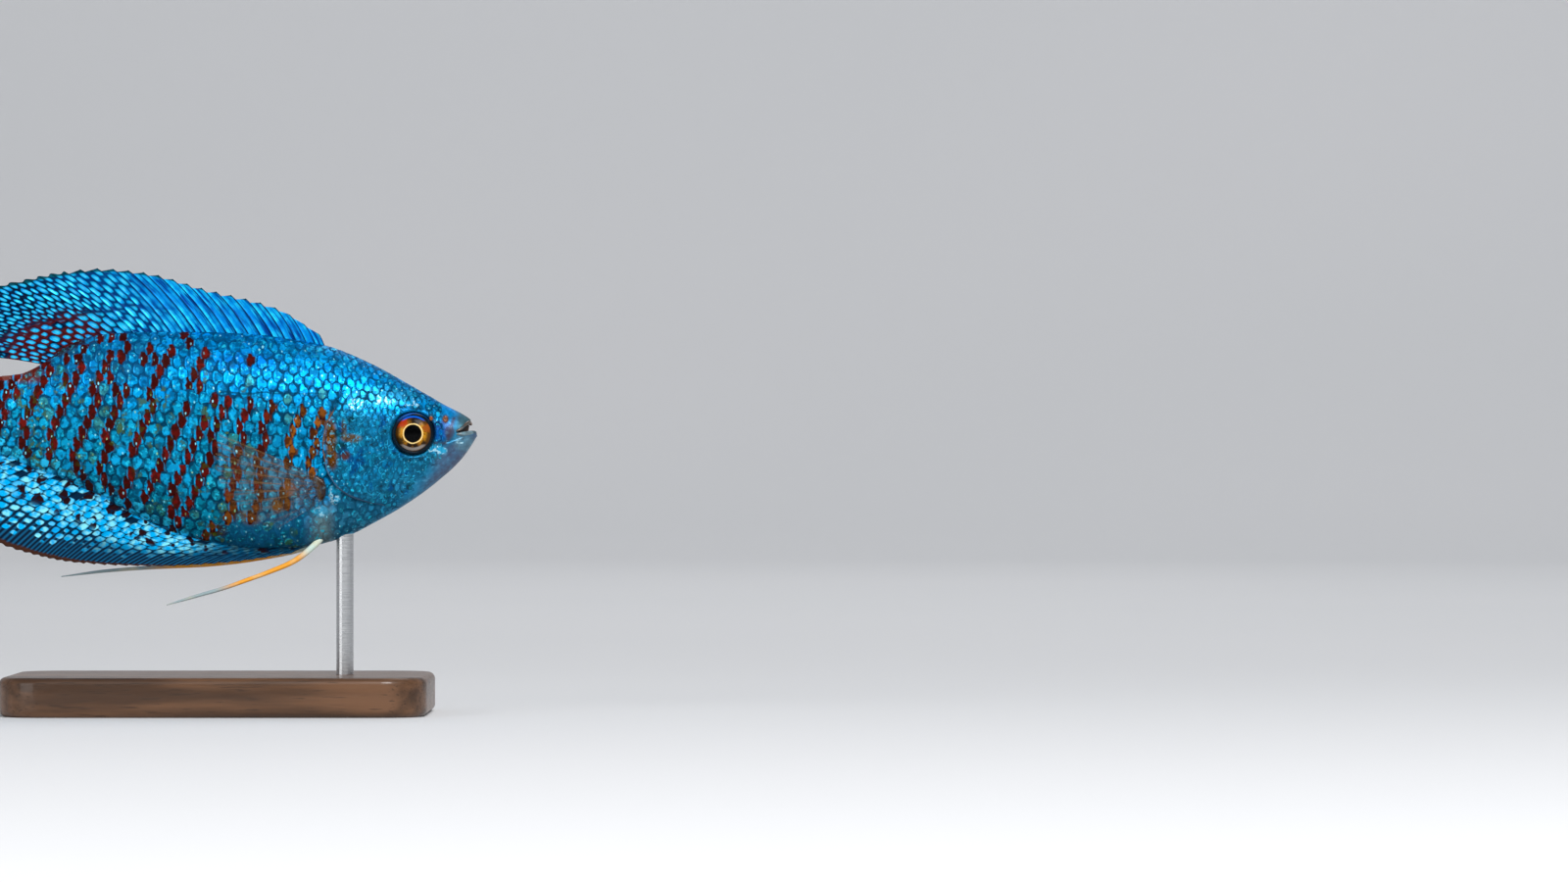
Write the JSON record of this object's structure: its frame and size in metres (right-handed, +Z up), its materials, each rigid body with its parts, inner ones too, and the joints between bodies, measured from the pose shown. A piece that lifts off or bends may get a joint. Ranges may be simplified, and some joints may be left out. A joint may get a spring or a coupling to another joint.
{
  "type": "dwarf gourami fish model on a display stand",
  "caption": "Life-size still model of a male dwarf gourami, a small deep-bodied aquarium fish with long fins, held over a plain stand.",
  "frame": {"origin": "on the floor, under the middle of the fish's length and on its middle plane", "axes": "+X towards the snout, +Y towards the fish's left side, +Z up towards its back"},
  "size_m": [0.0798, 0.034, 0.0568],
  "materials": {
    "head_skin": "wet blue skin with small scales",
    "body_skin": "wet bright blue scales with dark red stripes",
    "dorsal_fin": "wet blue membrane over rays",
    "anal_fin": "wet membrane with rows of pale blue dashes and an orange edge",
    "tail_fin": "wet membrane with rows of pale blue spots",
    "clear_fin": "wet clear membrane",
    "pelvic_thread": "wet orange thread, white at the root",
    "eye": "polished, gold iris and black pupil",
    "stand_wood": "satin varnished walnut",
    "stand_steel": "fine brushed"
  },
  "bodies": {
    "root": {"head": "head_skin", "torso": "body_skin", "tail_stalk": "body_skin", "fin_dorsal": "dorsal_fin", "fin_anal": "anal_fin", "fin_caudal": "tail_fin", "fin_pectoral_left": "clear_fin", "fin_pectoral_right": "clear_fin", "fin_pelvic_left": "pelvic_thread", "fin_pelvic_right": "pelvic_thread", "eye_left": "eye", "eye_right": "eye", "stand_base": "stand_wood", "stand_rod": "stand_steel"}
  },
  "joints": []
}
